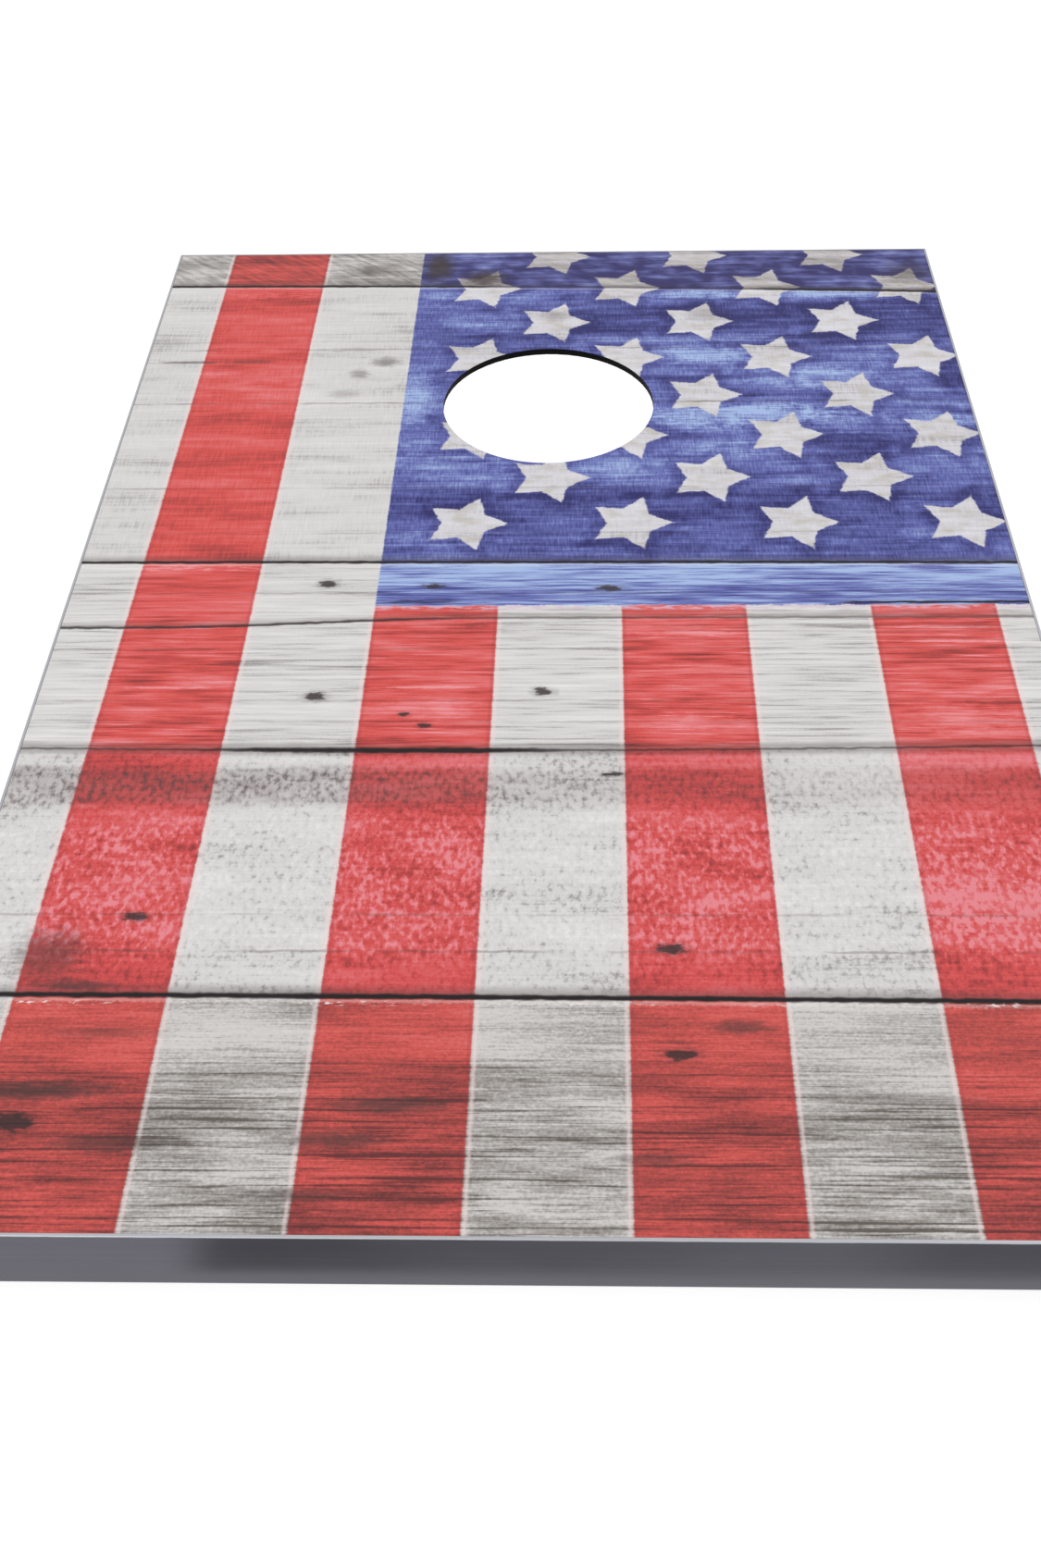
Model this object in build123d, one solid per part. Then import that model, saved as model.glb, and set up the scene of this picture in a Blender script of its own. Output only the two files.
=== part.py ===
"""Cornhole board of the 2 ft by 3 ft size, standing on its folding legs.

The board is drawn flat, in the deck frame: X to the right, Y from the low front edge to the high rear
edge, Z up from the top of the rim. Each piece is then tilted onto the ground. Lengths are millimetres.
"""
from build123d import *
from math import cos, radians, sin, tan
import os

# Driving dimensions
DECK_WIDTH = 609.6
DECK_LENGTH = 914.4
FRAME_HEIGHT = 40.0
TILT = 12.0                    # slope of the deck when it stands on its legs, degrees
HOLE_DIAMETER = 152.4
HOLE_FROM_REAR = 228.6

# Rail extrusion
WALL = 1.8                     # outer wall, which comes up flush with the deck as a thin rim
FLANGE = 1.6                   # thickness of the shelf and of the bottom flange
SHELF_REACH = 25.0
FLANGE_REACH = 14.0
TOP_EDGE_RADIUS = 0.5
BOTTOM_EDGE_RADIUS = 1.0
MITRE_GAP = 0.1

# Deck
PANEL_THICKNESS = 5.0
PRINT_THICKNESS = 0.25
PRINT_RECESS = 0.1
PANEL_GAP = 0.15               # all round, between the panel and the rim
HOLE_EDGE_CHAMFER = 0.4

# Clearances
FIT = 0.1                      # gap around moulded pieces in the rails and tubes
RUN = 0.05                     # radial gap of a running fit, and axial gap of a sliding face

# Corner keys
KEY_ARM = 62.0
REAR_KEY_SHORT_ARM = 38.5
KEY_POCKET_DEPTH = 9.0
KEY_POCKET_WIDTH = 16.0
KEY_POCKET_HEIGHT = 13.0
KEY_POCKET_START = 20.0         # from the outer corner to the first pocket
KEY_RIB = 3.0                  # between two pockets, and 2/3 of it above them
KEY_CHAMFER = 1.0

# Legs
LEG_THICKNESS = 20.0           # along X
LEG_WIDTH = 25.0               # along Y when standing
TUBE_WALL = 1.5
TUBE_CORNER_RADIUS = 1.2
LEG_END = -221.5               # lower end of the leg tube
PLUG_LENGTH = 45.0
FOOT_WALL = 1.5
FOOT_TOP = -209.0
FOOT_CORNER_RADIUS = 2.0
FOOT_RIM_RADIUS = 0.6
LEG_SPACER_RADIUS = 5.5
STRETCHER_RADIUS = 8.0
STRETCHER_Z = -200.0
STRETCHER_PLUG_LENGTH = 28.0

# Hardware
CROSS_SLOT = 0.9               # width of the cross recess in a screw head
BOLT_RADIUS = 3.0
BOLT_HEAD_ACROSS_FLATS = 10.0
BOLT_HEAD_HEIGHT = 4.0
BOLT_LENGTH = 45.0
BOLT_TIP_CHAMFER = 0.6
SPACER_THICKNESS = 3.5
SPACER_RADIUS = 10.0
WASHER_THICKNESS = 1.5
WASHER_RADIUS = 9.0
WING_REACH = 13.5
WING_BASE_RADIUS = 6.5
WING_THICKNESS = 2.4
WING_BASE_HEIGHT = 6.5
WING_HEIGHT = 12.0
CORNER_SCREW = {"radius": 2.0, "length": 12.0, "head_radius": 3.9, "head_height": 2.2}
PANEL_SCREW = {"radius": 1.75, "length": 5.4, "head_radius": 3.5, "head_height": 1.9}
BRACE_SCREW = {"radius": 2.0, "length": 7.0, "head_radius": 3.8, "head_height": 2.4}
STRETCHER_SCREW = {"radius": 2.5, "length": 41.0, "head_radius": 4.7, "head_height": 2.8}

# Cross brace
BRACE_Y = 430.0
BRACE_WIDTH = 25.0
BRACE_HEIGHT = 20.0
BRACE_INSET = 6.0              # from the side rails' outer faces to the brace's ends
BRACE_SCREW_INSET = 17.0
BRACE_SCREW_SPACING = 12.0
BRACE_ACCESS_RADIUS = 5.0
TAPE_WIDTH = 20.0

# Places along the rails, from each rail's middle
SIDE_PANEL_SCREWS = (-407.2, -267.2, -127.2, 62.8, 182.8, 322.8)
END_PANEL_SCREWS = (-180.0, 0.0, 180.0)
PANEL_SCREW_INSET = 19.5
CORNER_SCREW_INSET = 7.5
CORNER_SCREW_NEAR = 24.0       # from the rail's end to the nearer corner screw
CORNER_SCREW_FAR = 52.0
PIVOT_KEY_SCREW_NEAR = 14.5    # the same on the side rails at the rear, clear of the pivot bolt

# Worked out from the above
HALF_WIDTH = DECK_WIDTH / 2
PRINT_TOP = -PRINT_RECESS
PANEL_TOP = PRINT_TOP - PRINT_THICKNESS
PANEL_BOTTOM = PANEL_TOP - PANEL_THICKNESS
SHELF_BOTTOM = PANEL_BOTTOM - FLANGE
FRAME_BOTTOM = -FRAME_HEIGHT
FLANGE_TOP = FRAME_BOTTOM + FLANGE
PIVOT_Y = DECK_LENGTH - FLANGE_REACH - FIT - LEG_WIDTH / 2
PIVOT_Z = (SHELF_BOTTOM + FLANGE_TOP) / 2
HOLE_Y = DECK_LENGTH - HOLE_FROM_REAR
LEG_OUTER = -HALF_WIDTH + FLANGE_REACH + SPACER_THICKNESS + RUN
LEG_INNER = LEG_OUTER + LEG_THICKNESS
WASHER_START = LEG_INNER + RUN
WING_START = WASHER_START + WASHER_THICKNESS + RUN
BOLT_HEAD_START = -HALF_WIDTH + WALL + 2 * FIT
BOLT_HEAD_END = BOLT_HEAD_START + BOLT_HEAD_HEIGHT
# The rounded lower edge of the front rail touches the ground at this height in the tilted, unshifted frame
GROUND = BOTTOM_EDGE_RADIUS * (sin(radians(TILT)) + cos(radians(TILT)) - 1)


# Shared shapes

def block(x0, x1, y0, y1, z0, z1):
    """A box between two corners."""
    return Pos((x0 + x1) / 2, (y0 + y1) / 2, (z0 + z1) / 2) * Box(x1 - x0, y1 - y0, z1 - z0)


def rod_x(x0, x1, y, z, radius):
    """A cylinder along X."""
    return Pos((x0 + x1) / 2, y, z) * Rot(0, 90, 0) * Cylinder(radius, x1 - x0)


def rod_z(x, y, z0, z1, radius):
    """A cylinder along Z."""
    return Pos(x, y, (z0 + z1) / 2) * Cylinder(radius, z1 - z0)


def mirrored(shape):
    """The right-hand twin of a left-hand piece."""
    return mirror(shape, about=Plane.YZ)


def edges_along(shape, axis, picker):
    """Edges parallel to an axis whose middle point passes the picker."""
    return [edge for edge in shape.edges().filter_by(axis) if picker(edge.center())]


def pan_screw(size):
    """A pan-head screw that points up, with the underside of its head at the origin."""
    shank = rod_z(0, 0, 0, size["length"], size["radius"])
    head = rod_z(0, 0, -size["head_height"], 0, size["head_radius"])
    rim = head.edges().filter_by(GeomType.CIRCLE).sort_by(Axis.Z)[0]
    head = fillet(rim, size["head_height"] * 0.6)
    slot_depth = size["head_height"] * 0.5
    cross = Box(size["head_radius"], CROSS_SLOT, slot_depth) + Box(CROSS_SLOT, size["head_radius"], slot_depth)
    return shank + head - Pos(0, 0, -size["head_height"] + slot_depth / 2) * cross


def countersunk_shape(size, extra=0.0):
    """A countersunk screw that points up with its flat head at the origin, or, with extra, its hole."""
    radius = size["radius"] + extra
    head_radius = size["head_radius"] + extra
    head = Pos(0, 0, size["head_height"] / 2) * Cone(head_radius, radius, size["head_height"])
    return head + rod_z(0, 0, 0, size["length"] + extra, radius)


def countersunk_screw(size):
    """A countersunk screw with a cross recess."""
    depth = size["head_height"] * 0.6
    cross = Box(size["head_radius"], CROSS_SLOT, depth) + Box(CROSS_SLOT, size["head_radius"], depth)
    return countersunk_shape(size) - Pos(0, 0, depth / 2) * cross


# Frame

def rail(length, shelf_holes, flange_holes):
    """A mitred extrusion along X, with its outer face at Y = 0 and its top edge at Z = 0."""
    half = length / 2
    body = block(-half, half, 0, WALL, FRAME_BOTTOM, 0)
    body += block(-half, half, 0, SHELF_REACH, SHELF_BOTTOM, PANEL_BOTTOM)
    body += block(-half, half, 0, FLANGE_REACH, FRAME_BOTTOM, FLANGE_TOP)
    on_face = WALL / 4
    bottom = edges_along(body, Axis.X, lambda c: c.Y < on_face and c.Z < FRAME_BOTTOM + on_face)
    body = fillet(bottom, BOTTOM_EDGE_RADIUS)
    top = edges_along(body, Axis.X, lambda c: c.Y < on_face and c.Z > -on_face)
    body = fillet(top, TOP_EDGE_RADIUS)
    reach = SHELF_REACH + 1
    end = half - MITRE_GAP
    outline = Polyline((-end, 0), (end, 0), (end - reach, reach), (-end + reach, reach), close=True)
    body &= Pos(0, 0, FRAME_BOTTOM) * extrude(make_face(outline), FRAME_HEIGHT)
    for x in shelf_holes:
        body -= rod_z(x, PANEL_SCREW_INSET, SHELF_BOTTOM, PANEL_BOTTOM, PANEL_SCREW["radius"] + RUN)
    for x in flange_holes:
        body -= Pos(x, CORNER_SCREW_INSET, FRAME_BOTTOM) * countersunk_shape(CORNER_SCREW, RUN)
    return body


def front_rail():
    half = DECK_WIDTH / 2
    ends = [sign * (half - d) for sign in (-1, 1) for d in (CORNER_SCREW_NEAR, CORNER_SCREW_FAR)]
    return rail(DECK_WIDTH, END_PANEL_SCREWS, ends)


def rear_rail():
    half = DECK_WIDTH / 2
    ends = [sign * (half - CORNER_SCREW_NEAR) for sign in (-1, 1)]
    return Pos(0, DECK_LENGTH, 0) * Rot(0, 0, 180) * rail(DECK_WIDTH, END_PANEL_SCREWS, ends)


def side_flange_screws():
    """Corner screws of a side rail as Y in the deck frame, front pair then rear pair."""
    front = [CORNER_SCREW_NEAR, CORNER_SCREW_FAR]
    rear = [DECK_LENGTH - PIVOT_KEY_SCREW_NEAR, DECK_LENGTH - CORNER_SCREW_FAR]
    return front + rear


def left_rail():
    """The left rail, with its own X turned to point to the front, and the brace's screw holes."""
    middle = DECK_LENGTH / 2
    shelf = [-y for y in SIDE_PANEL_SCREWS]
    flange = [middle - y for y in side_flange_screws()]
    body = Pos(-HALF_WIDTH, middle, 0) * Rot(0, 0, -90) * rail(DECK_LENGTH, shelf, flange)
    for x, y in brace_screw_places():
        if x < 0:
            body -= rod_z(x, y, SHELF_BOTTOM, PANEL_BOTTOM, BRACE_SCREW["radius"] + RUN)
    return body


# Deck

def panel_outline(z0, z1):
    """A plate that fills the rim from height z0 to z1, with the bag hole through it."""
    inset = WALL + PANEL_GAP
    plate = block(-HALF_WIDTH + inset, HALF_WIDTH - inset, inset, DECK_LENGTH - inset, z0, z1)
    return plate - rod_z(0, HOLE_Y, z0 - 1, z1 + 1, HOLE_DIAMETER / 2)


def panel_screw_places():
    """Panel screw centres in the deck frame."""
    middle = DECK_LENGTH / 2
    side = HALF_WIDTH - PANEL_SCREW_INSET
    places = [(sign * side, middle + y) for sign in (-1, 1) for y in SIDE_PANEL_SCREWS]
    rows = (PANEL_SCREW_INSET, DECK_LENGTH - PANEL_SCREW_INSET)
    return places + [(x, y) for y in rows for x in END_PANEL_SCREWS]


def deck_panel():
    """The MDF panel, with a pilot hole for each screw and a broken lower edge round the bag hole."""
    body = panel_outline(PANEL_BOTTOM, PANEL_TOP)
    lower_rim = body.edges().filter_by(GeomType.CIRCLE).sort_by(Axis.Z)[0]
    body = chamfer(lower_rim, HOLE_EDGE_CHAMFER)
    for x, y in panel_screw_places():
        tip = SHELF_BOTTOM + PANEL_SCREW["length"] + RUN
        body -= rod_z(x, y, PANEL_BOTTOM, tip, PANEL_SCREW["radius"] + RUN)
    for x, y in brace_screw_places():
        tip = brace_screw_seat() + BRACE_SCREW["length"] + RUN
        body -= rod_z(x, y, PANEL_BOTTOM, tip, BRACE_SCREW["radius"] + RUN)
    return body


def deck_print():
    """The printed sheet on top of the panel."""
    return panel_outline(PANEL_TOP, PRINT_TOP)


def panel_screws():
    return [Pos(x, y, SHELF_BOTTOM) * pan_screw(PANEL_SCREW) for x, y in panel_screw_places()]


# Corner keys

def key_body(arm_x, arm_y):
    """An L-shaped key in the corner at the origin, with arms along +X and +Y inside the channels."""
    start = WALL + FIT
    low = FLANGE_TOP + FIT
    high = SHELF_BOTTOM - FIT
    body = block(start, arm_x, start, FLANGE_REACH, low, high)
    body += block(start, FLANGE_REACH, start, arm_y, low, high)
    far = [edge for edge in body.edges().filter_by(Axis.Z)
           if edge.center().X > arm_x - 1 or edge.center().Y > arm_y - 1]
    body = chamfer(far, KEY_CHAMFER)
    outer = body.edges().filter_by(Axis.Z).sort_by(lambda edge: edge.center().X + edge.center().Y)[0]
    return fillet(outer, 2 * KEY_CHAMFER)


def key_pocket(along):
    """A lightening pocket in an arm along +Y, cut from the arm's inner face above the screws."""
    high = SHELF_BOTTOM - FIT - KEY_RIB * 2 / 3
    start = FLANGE_REACH - KEY_POCKET_DEPTH
    return block(start, FLANGE_REACH, along, along + KEY_POCKET_WIDTH, high - KEY_POCKET_HEIGHT, high)


def swapped(shape):
    """The shape with its X and Y exchanged."""
    return mirror(shape, about=Plane.XZ.rotated((0, 0, 45)))


def key_screw_hole(x, y):
    return Pos(x, y, FRAME_BOTTOM) * countersunk_shape(CORNER_SCREW, RUN)


def front_corner_left():
    body = key_body(KEY_ARM, KEY_ARM)
    for along in (KEY_POCKET_START, KEY_POCKET_START + KEY_POCKET_WIDTH + KEY_RIB):
        pocket = key_pocket(along)
        body -= pocket
        body -= swapped(pocket)
    for along in (CORNER_SCREW_NEAR, CORNER_SCREW_FAR):
        body -= key_screw_hole(CORNER_SCREW_INSET, along)
        body -= key_screw_hole(along, CORNER_SCREW_INSET)
    return Pos(-HALF_WIDTH, 0, 0) * body


def rear_corner_left():
    """The rear key. Its long arm holds the pivot bolt, and its short arm stops the leg."""
    body = key_body(REAR_KEY_SHORT_ARM, KEY_ARM)
    for along in (PIVOT_KEY_SCREW_NEAR, CORNER_SCREW_FAR):
        body -= key_screw_hole(CORNER_SCREW_INSET, along)
    body -= key_screw_hole(CORNER_SCREW_NEAR, CORNER_SCREW_INSET)
    body = Pos(-HALF_WIDTH, DECK_LENGTH, 0) * mirror(body, about=Plane.XZ)
    body -= rod_x(-HALF_WIDTH, -HALF_WIDTH + FLANGE_REACH + 1, PIVOT_Y, PIVOT_Z, BOLT_RADIUS + RUN)
    pocket = hex_rod(BOLT_HEAD_ACROSS_FLATS + 2 * RUN, -HALF_WIDTH + WALL, BOLT_HEAD_END + RUN)
    return body - pocket


def corner_screws():
    """All corner screws, heads flush with the rails' undersides."""
    side = HALF_WIDTH - CORNER_SCREW_INSET
    places = [(sign * side, y) for sign in (-1, 1) for y in side_flange_screws()]
    for sign in (-1, 1):
        for inset in (CORNER_SCREW_NEAR, CORNER_SCREW_FAR):
            places.append((sign * (HALF_WIDTH - inset), CORNER_SCREW_INSET))
        places.append((sign * (HALF_WIDTH - CORNER_SCREW_NEAR), DECK_LENGTH - CORNER_SCREW_INSET))
    return [Pos(x, y, FRAME_BOTTOM) * countersunk_screw(CORNER_SCREW) for x, y in places]


# Cross brace

def brace_screw_places():
    offsets = (-BRACE_SCREW_SPACING / 2, BRACE_SCREW_SPACING / 2)
    inset = HALF_WIDTH - BRACE_SCREW_INSET
    return [(sign * inset, BRACE_Y + offset) for sign in (-1, 1) for offset in offsets]


def brace_screw_seat():
    """Height of the inside of the brace's top wall, where the screw heads bear."""
    return SHELF_BOTTOM - TUBE_WALL


def cross_brace():
    """A rectangular tube under the side rails' shelves, with access holes below its screws."""
    end = HALF_WIDTH - BRACE_INSET
    y0 = BRACE_Y - BRACE_WIDTH / 2
    y1 = BRACE_Y + BRACE_WIDTH / 2
    z0 = SHELF_BOTTOM - BRACE_HEIGHT
    body = block(-end, end, y0, y1, z0, SHELF_BOTTOM)
    body = fillet(body.edges().filter_by(Axis.X), TUBE_WALL)
    bore = block(-end, end, y0 + TUBE_WALL, y1 - TUBE_WALL, z0 + TUBE_WALL, SHELF_BOTTOM - TUBE_WALL)
    body -= fillet(bore.edges().filter_by(Axis.X), TUBE_WALL / 3)
    for x, y in brace_screw_places():
        body -= rod_z(x, y, brace_screw_seat() - 1, SHELF_BOTTOM, BRACE_SCREW["radius"] + RUN)
        body -= rod_z(x, y, z0 - 1, z0 + TUBE_WALL + 1, BRACE_ACCESS_RADIUS)
    return body


def brace_tape():
    """The foam tape that fills the gap between the brace and the panel."""
    end = HALF_WIDTH - SHELF_REACH - FIT
    half = TAPE_WIDTH / 2
    return block(-end, end, BRACE_Y - half, BRACE_Y + half, SHELF_BOTTOM, PANEL_BOTTOM)


def brace_screws():
    return [Pos(x, y, brace_screw_seat()) * pan_screw(BRACE_SCREW) for x, y in brace_screw_places()]


# Leg pivots

def hex_rod(across_flats, x0, x1):
    """A hexagonal prism along X on the pivot axis, with two of its flats level."""
    sketch = RegularPolygon(across_flats / 2, 6, major_radius=False, rotation=30)
    return Pos(x0, PIVOT_Y, PIVOT_Z) * Rot(0, 90, 0) * Rot(0, 0, 30) * extrude(sketch, x1 - x0)


def pivot_bolt_left():
    """A hexagon bolt whose head is held in the rear key's pocket."""
    head = hex_rod(BOLT_HEAD_ACROSS_FLATS, BOLT_HEAD_START, BOLT_HEAD_END)
    shank = rod_x(BOLT_HEAD_END, BOLT_HEAD_END + BOLT_LENGTH, PIVOT_Y, PIVOT_Z, BOLT_RADIUS)
    tip = shank.edges().filter_by(GeomType.CIRCLE).sort_by(Axis.X)[-1]
    return head + chamfer(tip, BOLT_TIP_CHAMFER)


def ring_x(x0, thickness, outer, bore):
    """A flat ring on the pivot axis."""
    ring = rod_x(x0, x0 + thickness, PIVOT_Y, PIVOT_Z, outer)
    return ring - rod_x(x0 - 1, x0 + thickness + 1, PIVOT_Y, PIVOT_Z, bore)


def pivot_spacers():
    """Nylon spacers between the rear keys and the legs."""
    left = ring_x(-HALF_WIDTH + FLANGE_REACH, SPACER_THICKNESS, SPACER_RADIUS, BOLT_RADIUS + RUN)
    return [left, mirrored(left)]


def pivot_washers():
    """Steel washers under the wing nuts."""
    left = ring_x(WASHER_START, WASHER_THICKNESS, WASHER_RADIUS, BOLT_RADIUS + 2 * RUN)
    return [left, mirrored(left)]


def wing_ear():
    """One rounded ear of a wing nut, standing on the XZ plane from the nut's axis out to +X."""
    foot = 1.2
    root = WING_BASE_HEIGHT - 0.3
    tip_start = WING_REACH - 4.5
    outline = make_face(Polyline((0, foot), (6.4, foot), (WING_REACH, 7.0), (WING_REACH, WING_HEIGHT),
                                 (tip_start, WING_HEIGHT), (5.5, root), (0, root), close=True))
    outline = fillet([corner for corner in outline.vertices() if corner.X > tip_start - 0.5], 2.1)
    outline = fillet([corner for corner in outline.vertices() if 5 < corner.X < 6.45], 3.0)
    ear = Pos(0, WING_THICKNESS / 2, 0) * Rot(90, 0, 0) * extrude(outline, WING_THICKNESS)
    rims = [edge for edge in ear.edges() if abs(edge.center().Y) > 0.99 * WING_THICKNESS / 2]
    return fillet([edge for edge in rims if edge.center().X > 0.1], 0.7)


def wing_nut_left():
    """A wing nut with a tapered hub, its ears level with the deck."""
    top_radius = WING_BASE_RADIUS - 1.5
    hub = Pos(0, 0, WING_BASE_HEIGHT / 2) * Cone(WING_BASE_RADIUS, top_radius, WING_BASE_HEIGHT)
    nut = hub + wing_ear() + Rot(0, 0, 180) * wing_ear()
    nut -= Cylinder(BOLT_RADIUS + RUN, 4 * WING_BASE_HEIGHT)
    return Pos(WING_START, PIVOT_Y, PIVOT_Z) * Rot(0, 90, 0) * Rot(0, 0, 90) * nut


# Legs

def leg_slab(x0, x1, half_width, low):
    """A bar from the height low up to a round top on the pivot axis, cut to the leg's outer radius."""
    body = block(x0, x1, PIVOT_Y - half_width, PIVOT_Y + half_width, low, PIVOT_Z + LEG_WIDTH)
    upper = rod_x(x0, x1, PIVOT_Y, PIVOT_Z, LEG_WIDTH / 2)
    lower = block(x0, x1, PIVOT_Y - LEG_WIDTH, PIVOT_Y + LEG_WIDTH, low, PIVOT_Z)
    return body & (upper + lower)


def leg_tube_left():
    """A rectangular tube with a round top, drilled for the pivot bolt and the stretcher screw."""
    body = leg_slab(LEG_OUTER, LEG_INNER, LEG_WIDTH / 2, LEG_END)
    body = fillet(body.edges().filter_by(Axis.Z), TUBE_CORNER_RADIUS)
    half = LEG_WIDTH / 2 - TUBE_WALL
    body -= block(LEG_OUTER + TUBE_WALL, LEG_INNER - TUBE_WALL, PIVOT_Y - half, PIVOT_Y + half,
                  LEG_END - 1, PIVOT_Z + LEG_WIDTH)
    body -= rod_x(LEG_OUTER - 1, LEG_INNER + 1, PIVOT_Y, PIVOT_Z, BOLT_RADIUS + 4 * RUN)
    return body - rod_x(LEG_OUTER - 1, LEG_INNER + 1, PIVOT_Y, STRETCHER_Z, STRETCHER_SCREW["radius"] + RUN)


def leg_plug_left():
    """The moulded plug in the top of the leg, which runs on the pivot bolt."""
    inset = TUBE_WALL + RUN
    low = PIVOT_Z + LEG_WIDTH / 2 - PLUG_LENGTH
    body = leg_slab(LEG_OUTER + inset, LEG_INNER - inset, LEG_WIDTH / 2 - inset, low)
    return body - rod_x(LEG_OUTER, LEG_INNER, PIVOT_Y, PIVOT_Z, BOLT_RADIUS + RUN)


def leg_spacers():
    """Bushes inside the legs that keep the stretcher screws from crushing the tubes."""
    x0 = LEG_OUTER + TUBE_WALL + RUN
    x1 = LEG_INNER - TUBE_WALL - RUN
    left = rod_x(x0, x1, PIVOT_Y, STRETCHER_Z, LEG_SPACER_RADIUS)
    left -= rod_x(x0 - 1, x1 + 1, PIVOT_Y, STRETCHER_Z, STRETCHER_SCREW["radius"] + RUN)
    return [left, mirrored(left)]


def ground_height(y):
    """Height of the ground in the deck frame, below the point at y."""
    return FRAME_BOTTOM - y * tan(radians(TILT)) + GROUND / cos(radians(TILT))


def leg_foot_left():
    """A rubber boot over the leg's end, cut to sit flat on the ground."""
    x0 = LEG_OUTER - FOOT_WALL
    x1 = LEG_INNER + FOOT_WALL
    y0 = PIVOT_Y - LEG_WIDTH / 2 - FOOT_WALL
    y1 = PIVOT_Y + LEG_WIDTH / 2 + FOOT_WALL
    side = Polyline((y0, ground_height(y0)), (y1, ground_height(y1)), (y1, FOOT_TOP), (y0, FOOT_TOP),
                    close=True)
    body = Pos(x0, 0, 0) * extrude(Plane.YZ * make_face(side), x1 - x0)
    body = fillet(body.edges().filter_by(Axis.Z), FOOT_CORNER_RADIUS)
    body = fillet(body.faces().sort_by(Axis.Z)[-1].edges(), FOOT_RIM_RADIUS)
    half = LEG_WIDTH / 2 + RUN
    socket = block(LEG_OUTER - RUN, LEG_INNER + RUN, PIVOT_Y - half, PIVOT_Y + half,
                   LEG_END - RUN, FOOT_TOP + 1)
    return body - fillet(socket.edges().filter_by(Axis.Z), TUBE_CORNER_RADIUS - 2 * RUN)


def stretcher_tube():
    """The round tube between the legs' inner faces."""
    end = -LEG_INNER - RUN
    body = rod_x(-end, end, PIVOT_Y, STRETCHER_Z, STRETCHER_RADIUS)
    return body - rod_x(-end - 1, end + 1, PIVOT_Y, STRETCHER_Z, STRETCHER_RADIUS - TUBE_WALL)


def stretcher_plugs():
    """Plugs in the stretcher's ends, which the screws thread into."""
    x0 = LEG_INNER + 2 * RUN
    x1 = x0 + STRETCHER_PLUG_LENGTH
    left = rod_x(x0, x1, PIVOT_Y, STRETCHER_Z, STRETCHER_RADIUS - TUBE_WALL - RUN)
    left -= rod_x(x0 - 1, x1 + 1, PIVOT_Y, STRETCHER_Z, STRETCHER_SCREW["radius"] + RUN)
    return [left, mirrored(left)]


def stretcher_screws():
    """Screws through the legs into the stretcher's plugs, heads on the legs' outer faces."""
    left = Pos(LEG_OUTER, PIVOT_Y, STRETCHER_Z) * Rot(0, 90, 0) * pan_screw(STRETCHER_SCREW)
    return [left, mirrored(left)]


# Assembly

def node_shapes():
    """Every node's shape in the deck frame, by name."""
    shapes = {
        "deck_panel": deck_panel(),
        "deck_print": deck_print(),
        "front_rail": front_rail(),
        "rear_rail": rear_rail(),
        "cross_brace": cross_brace(),
        "brace_tape": brace_tape(),
        "stretcher_tube": stretcher_tube(),
        "corner_screws": Compound(corner_screws()),
        "panel_screws": Compound(panel_screws()),
        "brace_screws": Compound(brace_screws()),
        "pivot_spacers": Compound(pivot_spacers()),
        "pivot_washers": Compound(pivot_washers()),
        "leg_spacers": Compound(leg_spacers()),
        "stretcher_plugs": Compound(stretcher_plugs()),
        "stretcher_screws": Compound(stretcher_screws()),
    }
    left_pieces = {
        "rail": left_rail(),
        "front_corner": front_corner_left(),
        "rear_corner": rear_corner_left(),
        "pivot_bolt": pivot_bolt_left(),
        "wing_nut": wing_nut_left(),
        "leg_tube": leg_tube_left(),
        "leg_plug": leg_plug_left(),
        "leg_foot": leg_foot_left(),
    }
    for name, shape in left_pieces.items():
        left_name, right_name = f"{name}_left", f"{name}_right"
        if name == "rail":
            left_name, right_name = "left_rail", "right_rail"
        shapes[left_name] = shape
        shapes[right_name] = mirrored(shape)
    return shapes


def on_the_ground(shapes):
    """Tilt every shape onto its legs, with the origin on the ground below the middle of the board."""
    tilt = Rot(TILT, 0, 0) * Pos(0, 0, FRAME_HEIGHT)
    tilted = {name: tilt * shape for name, shape in shapes.items()}
    boxes = [shape.bounding_box() for shape in tilted.values()]
    middle = (min(box.min.Y for box in boxes) + max(box.max.Y for box in boxes)) / 2
    shift = Pos(0, -middle, -GROUND)
    return {name: shift * shape for name, shape in tilted.items()}


os.makedirs("parts", exist_ok=True)
for node, shape in on_the_ground(node_shapes()).items():
    export_step(shape, f"parts/{node}.step")
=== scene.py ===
"""Looks of the cornhole board: the printed deck, the finishes of frame, legs and hardware, and the studio.

Patterns are drawn in deck coordinates, in millimetres: x to the right from the middle, s along the deck
from the high rear edge to the low front edge, and depth down from the top of the rim. Colours are written
as they look on a screen, 0 to 255.
"""
from math import cos, pi, radians, sin

import bmesh
import bpy
from mathutils import Matrix, Vector


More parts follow.
